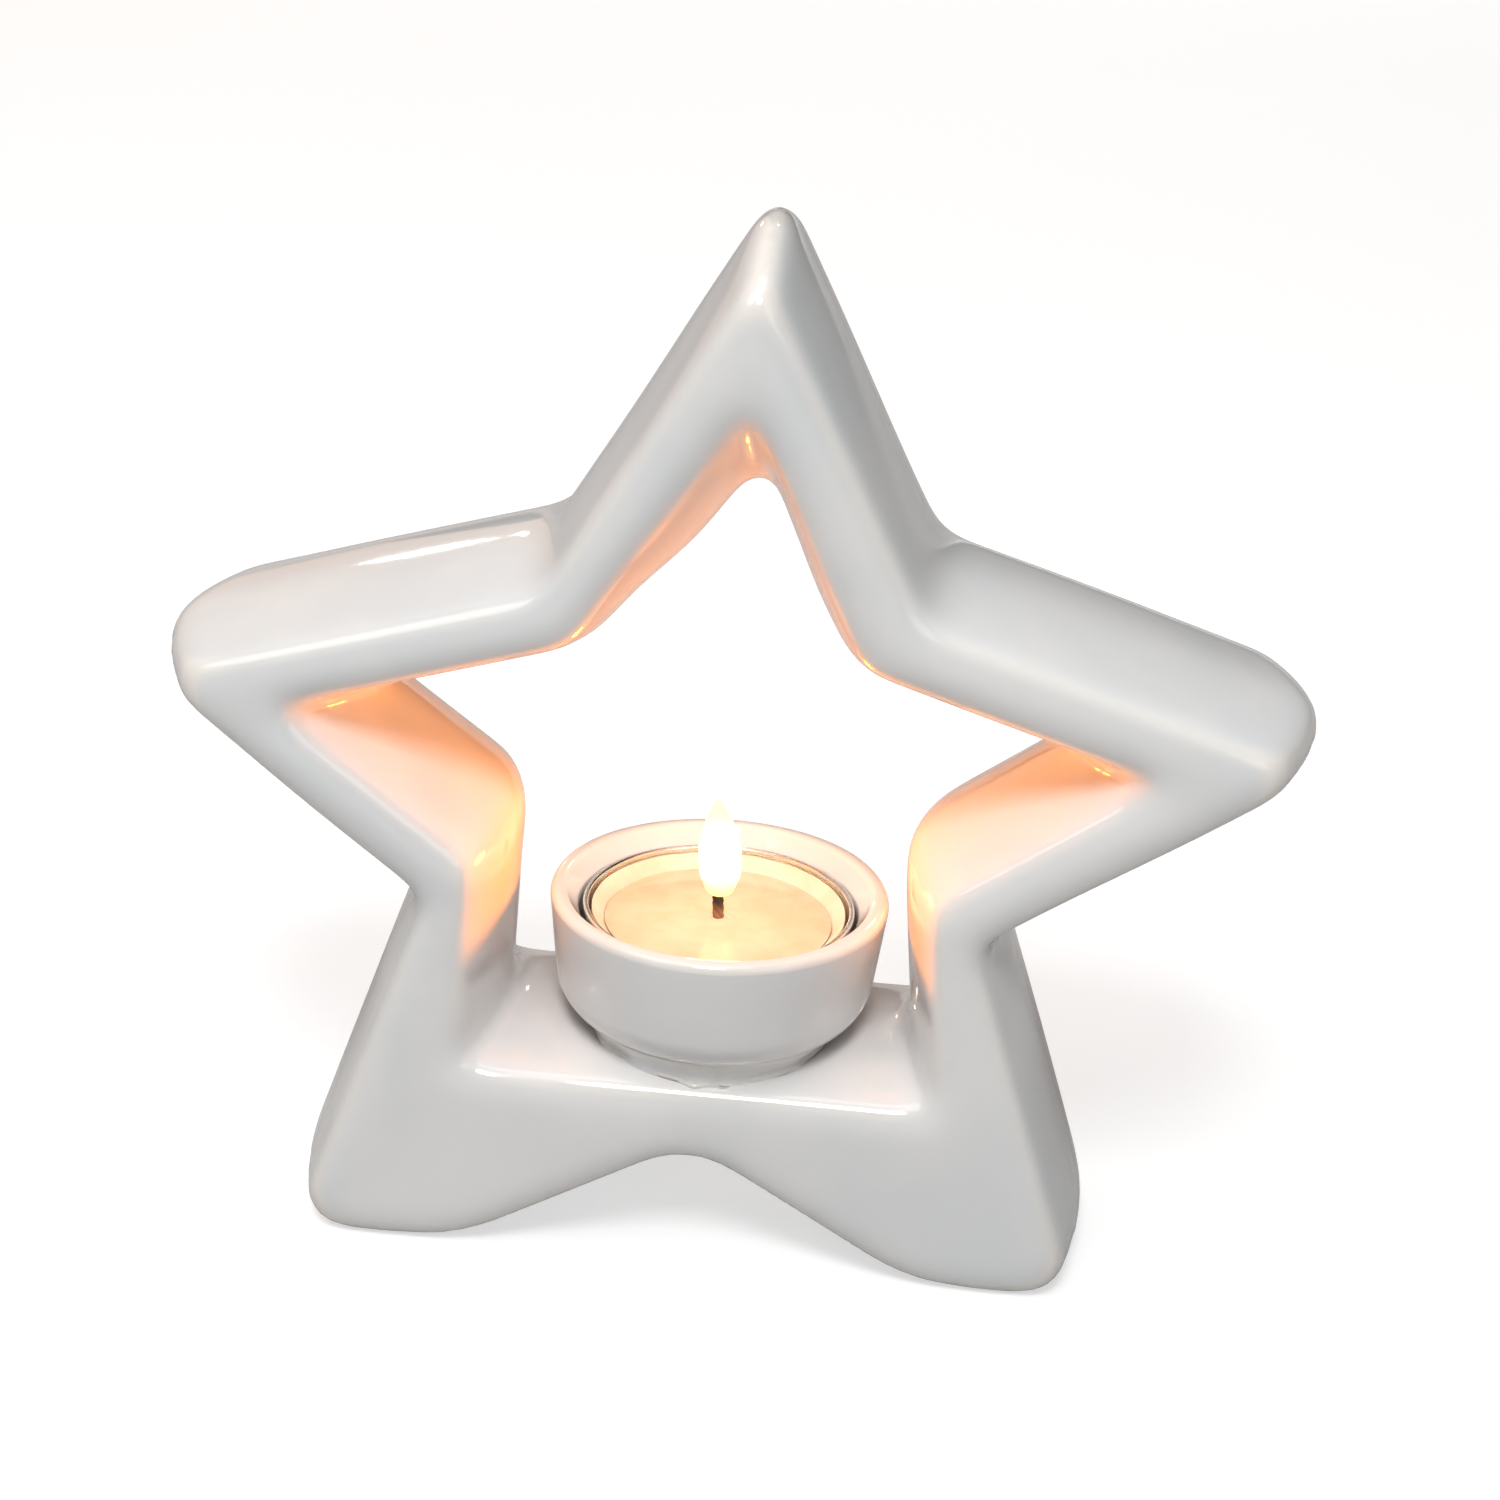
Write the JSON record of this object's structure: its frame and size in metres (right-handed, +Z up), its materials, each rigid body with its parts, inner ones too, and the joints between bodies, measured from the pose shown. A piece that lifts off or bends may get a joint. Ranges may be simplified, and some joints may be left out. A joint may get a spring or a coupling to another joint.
{
  "type": "star tealight holder",
  "caption": "Free-standing hollow ceramic star with an open window, a shelf and a luted round cup that holds a lift-out tealight candle.",
  "frame": {"origin": "on the ground under the middle of the star, half-way through its depth", "axes": "+Z up, +X to the right seen from the front, -Y out of the front face"},
  "size_m": [0.1614, 0.049, 0.1517],
  "materials": {
    "white_glaze": "glossy white glaze",
    "slip_glaze": "glossy glaze, slightly uneven",
    "tin_foil": "pressed bare foil",
    "sustainer_steel": "tinned sheet",
    "wick_cotton": "waxed cotton braid, charred at the tip",
    "candle_wax": "cream paraffin wax",
    "melted_wax": "clear melted paraffin"
  },
  "bodies": {
    "holder": {"star_body": "white_glaze", "luting_slip": "slip_glaze", "tealight_cup": "white_glaze"},
    "tealight": {"tealight_tin": "tin_foil", "wick_sustainer": "sustainer_steel", "wick": "wick_cotton", "wax": "candle_wax", "wax_pool": "melted_wax"}
  },
  "joints": [
    {"name": "tealight_lift", "type": "slide", "parent": "holder", "child": "tealight", "axis": [0, 0, 1], "range_m": [0, 0.026]}
  ]
}
